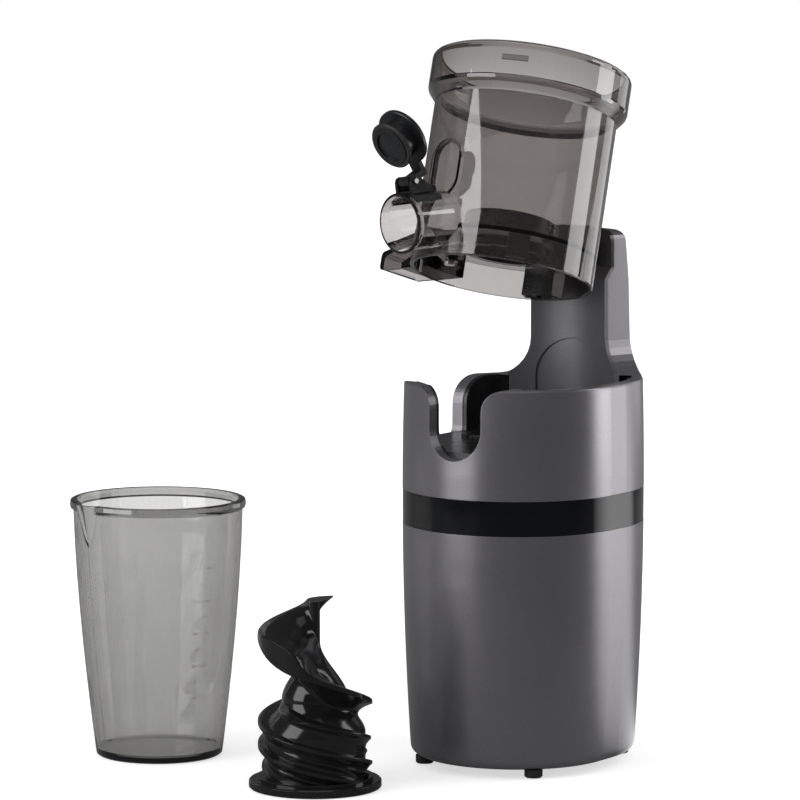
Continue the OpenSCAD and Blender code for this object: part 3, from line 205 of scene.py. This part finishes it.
# ---- Plain black mouldings ---------------------------------------------------
# Covers and electrical housings in black ABS with a fine spark-eroded texture:
# the base cover, the inlet's grommet, the rocker's frame, the rocker and the fan.
paint(moulded("textured_black_plastic", (0.012, 0.012, 0.0125), (0.020, 0.020, 0.021), (0.42, 0.55),
              cloud=(70, 4.0), grain=(2400, 3.0), depth=0.00005, strength=0.7, edge=0.0004),
      "base_cover", "mains_inlet", "rocker_housing", "power_rocker", "cooling_fan")


# ---- Steel: screws, shafts, pins and the drive socket ------------------------
# Turned and plated steel. Shafts are ground, so their lines run round them, and
# the screws are zinc plated with a slightly cloudy face.
def metal(name, dark, light, rough, scale, stretch=(1, 1, 1), depth=0.00001):
    """A metal with grain of that many features per metre, pressed into lines by stretch."""
    mat, nt, skin = new_material(name)
    skin.inputs["Metallic"].default_value = 1.0
    grain = speckle(nt, place_coords(nt, stretch), scale, detail=4.0, rough=0.6)
    nt.links.new(two_tone(nt, grain, dark, light), skin.inputs["Base Color"])
    nt.links.new(spread(nt, grain, *rough), skin.inputs["Roughness"])
    relief(nt, skin, grain, depth, strength=0.5, edge=0.0003)
    return mat


LINES_ROUND_Z = (1, 1, 30)
paint(metal("ground_steel", (0.50, 0.50, 0.49), (0.66, 0.65, 0.64), (0.22, 0.34), 90, LINES_ROUND_Z),
      "drive_shaft", "motor_shaft", "layshaft", "cap_pin", "lever_pin", "drive_socket", "motor_bearings")
paint(metal("zinc_plated_steel", (0.44, 0.44, 0.45), (0.60, 0.60, 0.60), (0.28, 0.42), 260),
      "deck_screws", "base_screws", "gearbox_screws", "motor_bolts")

# ---- Gearbox -----------------------------------------------------------------
# A die-cast aluminium case and cover, bolted on top of the motor. Two sintered
# bronze bushes carry the layshaft and one the output shaft; the big gears are nylon.
paint(metal("die_cast_alloy", (0.40, 0.41, 0.42), (0.56, 0.57, 0.58), (0.42, 0.58), 420, depth=0.00005),
      "gearbox_case", "gearbox_cover", "motor_upper_frame", "motor_lower_frame")
paint(metal("sintered_bronze", (0.40, 0.26, 0.12), (0.56, 0.38, 0.19), (0.38, 0.52), 1400, depth=0.00003),
      "output_bush", "layshaft_bushes")

nylon_mat = moulded("natural_nylon_gear", (0.66, 0.64, 0.56), (0.76, 0.74, 0.67), (0.34, 0.46),
                    cloud=(120, 4.0), grain=(1500, 2.0), strength=0.4, edge=0.0002)
skin = nylon_mat.node_tree.nodes["Principled BSDF"]
skin.inputs["Subsurface Weight"].default_value = 0.15
skin.inputs["Subsurface Radius"].default_value = (0.002, 0.002, 0.0015)
paint(nylon_mat, "layshaft_gear", "output_gear")

# ---- Motor -------------------------------------------------------------------
# Stacked laminations for stator and rotor, pressed together and dipped in varnish,
# with lacquered copper coils lying above and below the stack.
stack_mat, nt, skin = new_material("varnished_laminations")
skin.inputs["Metallic"].default_value = 0.8
metres = place_coords(nt)
sheets = nt.nodes.new("ShaderNodeTexWave")
sheets.wave_type = "BANDS"
sheets.bands_direction = "Z"
sheets.inputs["Scale"].default_value = 320
sheets.inputs["Distortion"].default_value = 0.4
nt.links.new(metres, sheets.inputs["Vector"])
nt.links.new(two_tone(nt, sheets.outputs["Fac"], (0.11, 0.11, 0.12), (0.24, 0.24, 0.25)),
             skin.inputs["Base Color"])
cloud = speckle(nt, metres, scale=300, detail=3.0)
nt.links.new(spread(nt, cloud, low=0.4, high=0.55), skin.inputs["Roughness"])
relief(nt, skin, sheets.outputs["Fac"], depth=0.00008, strength=0.6)
paint(stack_mat, "motor_stator", "rotor_core")

coil_mat, nt, skin = new_material("lacquered_copper_coils")
skin.inputs["Metallic"].default_value = 0.7
turns = nt.nodes.new("ShaderNodeTexWave")
turns.wave_type = "RINGS"
turns.rings_direction = "Z"
turns.inputs["Scale"].default_value = 220
turns.inputs["Distortion"].default_value = 1.5
nt.links.new(place_coords(nt), turns.inputs["Vector"])
nt.links.new(two_tone(nt, turns.outputs["Fac"], (0.22, 0.07, 0.025), (0.55, 0.22, 0.09)),
             skin.inputs["Base Color"])
nt.links.new(spread(nt, turns.outputs["Fac"], low=0.38, high=0.28, src=(0, 1)), skin.inputs["Roughness"])
relief(nt, skin, turns.outputs["Fac"], depth=0.0003, strength=0.8)
paint(coil_mat, "motor_windings")

# ---- Electrical pieces -------------------------------------------------------
# The control board on its four posts, the run capacitor in its can, the wires
# between them, and the small red switch that the seated bowl closes.
LINES_ALONG_X = (20, 1, 1)
paint(moulded("board_and_its_parts", (0.008, 0.060, 0.026), (0.014, 0.090, 0.040), (0.25, 0.4), (260, 4.0)),
      "control_board")
paint(metal("drawn_aluminium_can", (0.55, 0.56, 0.57), (0.68, 0.69, 0.70), (0.25, 0.38), 120, LINES_ALONG_X),
      "capacitor")
paint(moulded("wire_insulation", (0.16, 0.012, 0.010), (0.22, 0.018, 0.014), (0.35, 0.5)), "wiring")
paint(moulded("red_switch_body", (0.30, 0.020, 0.014), (0.38, 0.028, 0.020), (0.3, 0.45)), "safety_switch")


# ---- Juicing bowl ------------------------------------------------------------
# One moulding of smoke-tinted copolyester with the spout, the pulp chute, the thumb
# pad and the ring that takes the hopper. The tint lies in the plastic, so it is
# darkest where the eye looks along a wall.
def tinted_clear(name, density, tint):
    """Clear plastic with the tint all through it: density per metre, tint what it passes best."""
    mat, nt, skin = new_material(name)
    skin.inputs["Transmission Weight"].default_value = 1.0
    skin.inputs["IOR"].default_value = 1.54
    skin.inputs["Coat Weight"].default_value = 0.5
    skin.inputs["Coat IOR"].default_value = 1.6
    skin.inputs["Coat Roughness"].default_value = 0.02
    metres = place_coords(nt)
    cloud = speckle(nt, metres, scale=26, detail=3.0)
    nt.links.new(two_tone(nt, cloud, (0.93, 0.93, 0.93), (0.99, 0.99, 0.99)), skin.inputs["Base Color"])
    nt.links.new(spread(nt, cloud, low=0.0, high=0.02), skin.inputs["Roughness"])
    relief(nt, skin, speckle(nt, metres, scale=34, detail=1.0), depth=0.00008, strength=0.25)
    # a lamp's light passes through the walls, so that what stands inside is lit
    path = nt.nodes.new("ShaderNodeLightPath")
    through = nt.nodes.new("ShaderNodeBsdfTransparent")
    through.inputs["Color"].default_value = (0.92, 0.92, 0.92, 1)
    wall = nt.nodes.new("ShaderNodeMixShader")
    nt.links.new(path.outputs["Is Shadow Ray"], wall.inputs["Fac"])
    nt.links.new(skin.outputs["BSDF"], wall.inputs[1])
    nt.links.new(through.outputs["BSDF"], wall.inputs[2])
    inside = nt.nodes.new("ShaderNodeVolumeAbsorption")
    inside.inputs["Color"].default_value = (*tint, 1)
    inside.inputs["Density"].default_value = density
    out = next(node for node in nt.nodes if node.type == "OUTPUT_MATERIAL")
    nt.links.new(wall.outputs["Shader"], out.inputs["Surface"])
    nt.links.new(inside.outputs["Volume"], out.inputs["Volume"])
    return mat


paint(tinted_clear("smoke_clear_bowl", 375, (0.085, 0.030, 0.005)), "juice_bowl")

# ---- Bowl fittings -----------------------------------------------------------
# The black ring that seals on the hub, the lugs and ribs under the floor and the
# pulp lever: glass-filled nylon, dense black with a soft shine, welded or pinned in.
paint(moulded("black_bowl_fittings", (0.0065, 0.0065, 0.007), (0.011, 0.011, 0.0115), (0.22, 0.32),
              cloud=(60, 4.0)),
      "floor_ring", "locating_lugs", "pulp_lever")

# ---- Spout cap ---------------------------------------------------------------
# A flip cap on a steel pin: black polypropylene with a satin face, a raised rim
# and a plug that carries a dark silicone ring. Its bracket saddles the spout.
paint(moulded("satin_black_cap", (0.0075, 0.0080, 0.0090), (0.012, 0.0125, 0.014), (0.26, 0.36), (80, 4.0)),
      "spout_cap")
paint(moulded("gloss_black_bracket", (0.006, 0.006, 0.0065), (0.010, 0.010, 0.011), (0.12, 0.2), (80, 4.0)),
      "cap_bracket")
paint(moulded("dark_silicone", (0.014, 0.014, 0.015), (0.022, 0.022, 0.023), (0.45, 0.6), (120, 4.0)),
      "cap_seal")

# ---- Auger -------------------------------------------------------------------
# The screw that presses the fruit: one moulding of black high-temperature plastic,
# polished on its blades. A tall blade winds up to the tip over two long pressing ribs
# and four short ones.
AUGER_AT = Vector((-50.8, -145.8, 7.0)) * MM
AUGER_TURN = 35.0
AUGER_RADIUS = 34.0
SCREW_HEIGHT = 104.0
# the winding: mm of rise in a full turn, below and above the blade's foot
BLADE_FOOT = 44.8
RIB_PITCH = 50.0
BLADE_PITCH = 76.0
TIP_TURN = 15
# core and rim as shares of the radius, and what they lose higher up
CORE = 0.88
CORE_LOSS_LOW = 0.3
CORE_LOSS_HIGH = 0.49
RIM_LOSS = 0.28
# from which height to which, in mm, each change takes place
CORE_NARROWS = (26, 46)
CORE_SLIMS = (46, 80)
BLADE_WIDENS = (58, 80)
BLADE_LEANS = (62, 82)
CORNER_DRAWS_IN = (84, 104)
RIM_DRAWS_IN = (86, 104)
TIP_TURNS = (88, 104)
# the tall blade, in degrees round the core: its flat edge at the foot and what it gains, how
# far it fades ahead of that edge at the foot and at the tip, and how far it fades behind it
FLAT_LOW = 14
FLAT_GAIN = 36
AHEAD_LOW = 9
AHEAD_HIGH = 75
BEHIND = 62
LEAN = 50
CORNER_CUT = 0.62
# how hollow the slopes are, and over how many mm a rib fades out at its upper end
HOLLOW_AHEAD = 4
HOLLOW_BEHIND = 2.2
RIB_FADE = 9
# rib: angle, upper end, height over the core's share, width below, width above, flat width
RIBS = [
    (98, 52, 1, 52, 9, 12),
    (205, 44, 0.8, 42, 9, 12),
    (48, 20, 0.45, 24, 8, 8),
    (150, 19, 0.5, 24, 8, 8),
    (262, 17, 0.45, 24, 8, 8),
    (318, 14, 0.45, 24, 8, 8),
]
SCREW_COLUMNS = 240
SCREW_ROWS = 180


def ease(x, start, end):
    """A soft step from 0 to 1 as x goes from start to end."""
    share = min(max((x - start) / (end - start), 0.0), 1.0)
    return share * share * (3 - 2 * share)


def half_turn(angle):
    """The same angle in degrees, from -180 to 180."""
    return (angle + 180) % 360 - 180


def blade_share(angle, z):
    """How far the tall blade stands out from core to rim, 0..1. Its flat edge widens as it
    rises, and its front corner draws in at the tip."""
    rise = ease(z, *BLADE_WIDENS)
    flat = FLAT_LOW + FLAT_GAIN * rise
    front = 1 - CORNER_CUT * ease(z, *CORNER_DRAWS_IN)
    off = half_turn(angle - LEAN * ease(z, *BLADE_LEANS))
    if off >= 0:
        steep = 1 - ease(off, 0, AHEAD_LOW)
        hollow = max(0.0, 1 - off / AHEAD_HIGH) ** HOLLOW_AHEAD
        return front * ((1 - rise) * steep + rise * hollow)
    if off > -flat:
        return 1 - (1 - front) * (1 + off / flat)
    return max(0.0, 1 + (off + flat) / BEHIND) ** HOLLOW_BEHIND


def rib_share(angle, z, rib):
    """The same for one pressing rib."""
    at, top, tall, below, above, flat = rib
    off = half_turn(angle - at)
    if off >= 0:
        slope = 1 - ease(off, 0, above)
    else:
        slope = min(1.0, max(0.0, 1 + (off + flat) / below)) ** HOLLOW_BEHIND
    return tall * ease(top - z, 0, RIB_FADE) * slope


def auger_reach(angle, z):
    """Distance of the screw's skin from its axis, in mm."""
    core = CORE - CORE_LOSS_LOW * ease(z, *CORE_NARROWS) - CORE_LOSS_HIGH * ease(z, *CORE_SLIMS)
    rim = 1 - RIM_LOSS * ease(z, *RIM_DRAWS_IN)
    share = max([blade_share(angle, z)] + [rib_share(angle, z, rib) for rib in RIBS])
    return AUGER_RADIUS * (core + (rim - core) * share)


def auger_wind(z):
    """How far the screw has turned at a height, in degrees."""
    pitch = BLADE_PITCH if z > BLADE_FOOT else RIB_PITCH
    return (BLADE_FOOT - z) * 360 / pitch - TIP_TURN * ease(z, *TIP_TURNS)


def new_piece(name, verts, faces, mat, smooth_angle):
    """A mesh piece from points and faces, smooth except over sharper edges."""
    mesh = bpy.data.meshes.new(name)
    mesh.from_pydata([tuple(v) for v in verts], [], faces)
    bm = bmesh.new()
    bm.from_mesh(mesh)
    bmesh.ops.recalc_face_normals(bm, faces=bm.faces)
    bm.to_mesh(mesh)
    bm.free()
    mesh.shade_smooth()
    mesh.set_sharp_from_angle(angle=math.radians(smooth_angle))
    mesh.materials.append(mat)
    piece = bpy.data.objects.new(name, mesh)
    bpy.context.scene.collection.objects.link(piece)
    return piece


verts = []
for row in range(SCREW_ROWS + 1):
    z = SCREW_HEIGHT * row / SCREW_ROWS
    for column in range(SCREW_COLUMNS):
        angle = 360 * column / SCREW_COLUMNS
        reach = auger_reach(angle, z)
        at = math.radians(angle + auger_wind(z) + AUGER_TURN)
        verts.append(AUGER_AT + Vector((reach * math.cos(at), reach * math.sin(at), z)) * MM)
faces = []
for row in range(SCREW_ROWS):
    low = row * SCREW_COLUMNS
    high = low + SCREW_COLUMNS
    for column in range(SCREW_COLUMNS):
        after = (column + 1) % SCREW_COLUMNS
        faces.append((low + column, low + after, high + after, high + column))
faces.append(tuple(reversed(range(SCREW_COLUMNS))))
faces.append(tuple(SCREW_ROWS * SCREW_COLUMNS + column for column in range(SCREW_COLUMNS)))

auger_mat = moulded("polished_black_auger", (0.0065, 0.0065, 0.007), (0.0105, 0.0105, 0.011), (0.10, 0.17),
                    cloud=(50, 4.0), grain=(300, 2.0), depth=0.00005)
auger = new_piece("auger_polished_screw", verts, faces, auger_mat, smooth_angle=38)
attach(auger, "auger")
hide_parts("auger_screw")
paint(auger_mat, "auger_base")

# ---- Juice cup ---------------------------------------------------------------
# A tall beaker of the same smoke-tinted plastic, a little paler, with a rolled rim
# and a pinched pouring lip. Raised lines moulded on its side mark the fill.
CUP_AT = Vector((-191.4, -115.0, 0.0)) * MM
CUP_HEIGHT = 158.0
CUP_RIM_RADIUS = 51.8
CUP_FOOT_RADIUS = 38.5
CUP_FLARE = 1.55
# the marks: their side of the cup, how tall a line is, how far it stands proud and reaches in
MARKS_TURN = -20.0
MARK_TALL = 0.9
MARK_PROUD = 0.4
MARK_ROOT = -0.1
MARK_STEPS = 8
MARK_COUNT = 11
FIRST_MARK = 30.0
MARK_APART = 10.0
# half the angle that a line spans: every second one is long
SHORT_MARK = 3.5
LONG_MARK = 6.5


def cup_radius(z):
    """Outer radius of the cup at a height, in mm."""
    widening = 1 - (1 - z / CUP_HEIGHT) ** CUP_FLARE
    return CUP_FOOT_RADIUS + (CUP_RIM_RADIUS - CUP_FOOT_RADIUS) * widening


verts = []
faces = []
for mark in range(MARK_COUNT):
    foot = FIRST_MARK + MARK_APART * mark
    top = foot + MARK_TALL
    half_angle = LONG_MARK if mark % 2 else SHORT_MARK
    start = len(verts)
    for step in range(MARK_STEPS + 1):
        at = math.radians(MARKS_TURN + half_angle * (2 * step / MARK_STEPS - 1))
        for z, proud in ((foot, MARK_ROOT), (foot, MARK_PROUD), (top, MARK_PROUD), (top, MARK_ROOT)):
            reach = cup_radius(z) + proud
            verts.append(CUP_AT + Vector((reach * math.cos(at), reach * math.sin(at), z)) * MM)
    for step in range(MARK_STEPS):
        this = start + 4 * step
        faces += [(this + k, this + (k + 1) % 4, this + 4 + (k + 1) % 4, this + 4 + k) for k in range(4)]
    end = start + 4 * MARK_STEPS
    faces += [(start + 3, start + 2, start + 1, start), (end, end + 1, end + 2, end + 3)]

cup_mat = tinted_clear("smoke_clear_cup", 258, (0.045, 0.040, 0.015))
paint(cup_mat, "juice_cup")
marks = new_piece("cup_fill_marks", verts, faces, cup_mat, smooth_angle=40)
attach(marks, "cup")

# ---- Studio ------------------------------------------------------------------
# A white table that runs out into a white room, which gloss mirrors as a dim one. A tall
# soft lamp stands to the right with a weak one behind it, a broad one to the left and
# front, and a large dim one hangs overhead.
CAMERA_SIDE = 35
CAMERA_AWAY = 3.0
CAMERA_HEIGHT = 0.575
VIEW_ANGLE = 9.24
SENSOR = 36
TARGET = Vector((-61.4, -43.0, 220)) * MM
LAMP_AIM = Vector((0, 0, 0.2))
# the room as a mirror shows it, far side and near side, and as it lights matt surfaces
ROOM_FAR = 0.09
ROOM_NEAR = 0.06
ROOM_FADE = (-0.8, 0.4)
ROOM_LIGHT = 0.5
# the table: its colour, the painted shade that darkens it as mirrors see it, and its own glow near the
# object and far
TABLE_RADIUS = 6.0
TABLE_AT = (-0.06, -0.04, -0.0004)
TABLE_WHITE = 0.62
TABLE_DIMMER = 0.5
GLOW_NEAR = 0.62
GLOW_FAR = 1.0
GLOW_RISE = (0.25, 0.9)
# what a mirror shows of that glow: a painted glow behind the object, and a painted streak of the right
# lamp's light on the table
GLOW_BEHIND = 0.14
BEHIND_FADE = (-0.2, 0.6)
STREAK = 2.2
STREAK_SIDE = 138
STREAK_EDGE = (0.93, 1.0)


def level_way(side):
    """The level direction at an angle round the object, in degrees; 0 is its front."""
    return Vector((math.sin(math.radians(side)), -math.cos(math.radians(side)), 0))


def math_node(nt, operation, a, b, clamp=False):
    """The result of an operation on two numbers or sockets."""
    node = nt.nodes.new("ShaderNodeMath")
    node.operation = operation
    node.use_clamp = clamp
    for socket, value in zip(node.inputs, (a, b)):
        if isinstance(value, (int, float)):
            socket.default_value = value
        else:
            nt.links.new(value, socket)
    return node.outputs[0]


def ray_kinds(nt):
    """1 for rays seen directly or through clear plastic, and 1 for mirrored rays."""
    path = nt.nodes.new("ShaderNodeLightPath")
    seen = math_node(nt, "ADD", path.outputs["Is Camera Ray"], path.outputs["Is Transmission Ray"], True)
    return seen, path.outputs["Is Glossy Ray"]


def along(nt, vector, way):
    """How far a vector points along a fixed direction."""
    dot = nt.nodes.new("ShaderNodeVectorMath")
    dot.operation = "DOT_PRODUCT"
    dot.inputs[1].default_value = way
    nt.links.new(vector, dot.inputs[0])
    return dot.outputs["Value"]


near_side = level_way(CAMERA_SIDE)
world = bpy.data.worlds.new("white_room")
bpy.context.scene.world = world
world.use_nodes = True
nt = world.node_tree
nt.nodes.clear()
out = nt.nodes.new("ShaderNodeOutputWorld")
glow = nt.nodes.new("ShaderNodeBackground")
glow.inputs["Color"].default_value = (1, 1, 1, 1)
nt.links.new(glow.outputs[0], out.inputs["Surface"])
seen, mirrored = ray_kinds(nt)
where = nt.nodes.new("ShaderNodeTexCoord")
room = spread(nt, along(nt, where.outputs["Generated"], near_side), ROOM_FAR, ROOM_NEAR, ROOM_FADE)
level = math_node(nt, "MAXIMUM", seen, math_node(nt, "MULTIPLY", mirrored, room))
other = math_node(nt, "SUBTRACT", 1.0, math_node(nt, "ADD", seen, mirrored, True), True)
level = math_node(nt, "ADD", level, math_node(nt, "MULTIPLY", other, ROOM_LIGHT))
nt.links.new(level, glow.inputs["Strength"])

table_mesh = bpy.data.meshes.new("table_top")
bm = bmesh.new()
bmesh.ops.create_circle(bm, cap_ends=True, segments=96, radius=TABLE_RADIUS)
bm.to_mesh(table_mesh)
bm.free()
table_top = bpy.data.objects.new("table_top", table_mesh)
bpy.context.scene.collection.objects.link(table_top)
table_top.location = TABLE_AT
table_mat = bpy.data.materials.new("white_table")
table_mat.use_nodes = True
nt = table_mat.node_tree
nt.nodes.clear()
out = nt.nodes.new("ShaderNodeOutputMaterial")
matt = nt.nodes.new("ShaderNodeBsdfDiffuse")
lit = nt.nodes.new("ShaderNodeEmission")
both = nt.nodes.new("ShaderNodeAddShader")
nt.links.new(matt.outputs[0], both.inputs[0])
nt.links.new(lit.outputs[0], both.inputs[1])
nt.links.new(both.outputs[0], out.inputs["Surface"])
seen, mirrored = ray_kinds(nt)
where = nt.nodes.new("ShaderNodeTexCoord")
away = nt.nodes.new("ShaderNodeVectorMath")
away.operation = "LENGTH"
nt.links.new(where.outputs["Object"], away.inputs[0])
glow_there = spread(nt, away.outputs["Value"], GLOW_NEAR, GLOW_FAR, GLOW_RISE)
way = nt.nodes.new("ShaderNodeVectorMath")
way.operation = "NORMALIZE"
nt.links.new(where.outputs["Object"], way.inputs[0])
# painted light: mirrors see the table glow behind the object and in a painted streak towards the right lamp
behind = spread(nt, along(nt, where.outputs["Object"], near_side), GLOW_BEHIND, 0.0, BEHIND_FADE)
to_lamp = along(nt, way.outputs["Vector"], level_way(STREAK_SIDE))
streak = spread(nt, to_lamp, 0.0, STREAK, STREAK_EDGE)
mirror_share = math_node(nt, "MULTIPLY", glow_there, math_node(nt, "ADD", behind, streak))
level = math_node(nt, "MAXIMUM", math_node(nt, "MULTIPLY", seen, glow_there),
                  math_node(nt, "MULTIPLY", mirrored, mirror_share))
nt.links.new(level, lit.inputs["Strength"])
# painted shade: mirrored rays see the table darker than its own colour
only_mirrored = math_node(nt, "SUBTRACT", mirrored, seen, True)
dimmer = math_node(nt, "MULTIPLY", only_mirrored, TABLE_DIMMER)
nt.links.new(math_node(nt, "SUBTRACT", TABLE_WHITE, dimmer), matt.inputs["Color"])
table_mesh.materials.append(table_mat)


def soft_lamp(name, side, height, away, wide, tall, radiance):
    """A softbox round the object, facing it, with sizes and places in metres."""
    data = bpy.data.lights.new(name, "AREA")
    data.shape = "RECTANGLE"
    data.size = wide
    data.size_y = tall
    data.energy = radiance * math.pi * wide * tall
    lamp = bpy.data.objects.new(name, data)
    bpy.context.scene.collection.objects.link(lamp)
    lamp.location = level_way(side) * away + Vector((0, 0, height))
    lamp.rotation_euler = (LAMP_AIM - lamp.location).to_track_quat("-Z", "Y").to_euler()
    lamp.visible_camera = False


soft_lamp("right_box", side=130, height=0.47, away=0.9, wide=0.40, tall=0.88, radiance=3.1)
soft_lamp("rear_box", side=168, height=0.50, away=1.1, wide=0.50, tall=0.90, radiance=1.0)
soft_lamp("left_box", side=-24, height=0.47, away=1.0, wide=0.64, tall=0.85, radiance=3.5)
soft_lamp("top_box", side=20, height=2.2, away=0.5, wide=1.4, tall=1.2, radiance=0.6)

camera_data = bpy.data.cameras.new("camera")
camera_data.sensor_width = SENSOR
camera_data.lens = SENSOR / 2 / math.tan(math.radians(VIEW_ANGLE / 2))
camera_data.clip_start = 0.1
camera_data.clip_end = 50
camera = bpy.data.objects.new("camera", camera_data)
bpy.context.scene.collection.objects.link(camera)
rise = CAMERA_HEIGHT - TARGET.z
camera.location = TARGET + near_side * math.sqrt(CAMERA_AWAY ** 2 - rise ** 2) + Vector((0, 0, rise))
camera.rotation_euler = (TARGET - camera.location).to_track_quat("-Z", "Y").to_euler()
bpy.context.scene.camera = camera
bpy.context.scene.view_settings.view_transform = "Standard"
bpy.context.scene.cycles.transparent_max_bounces = 24
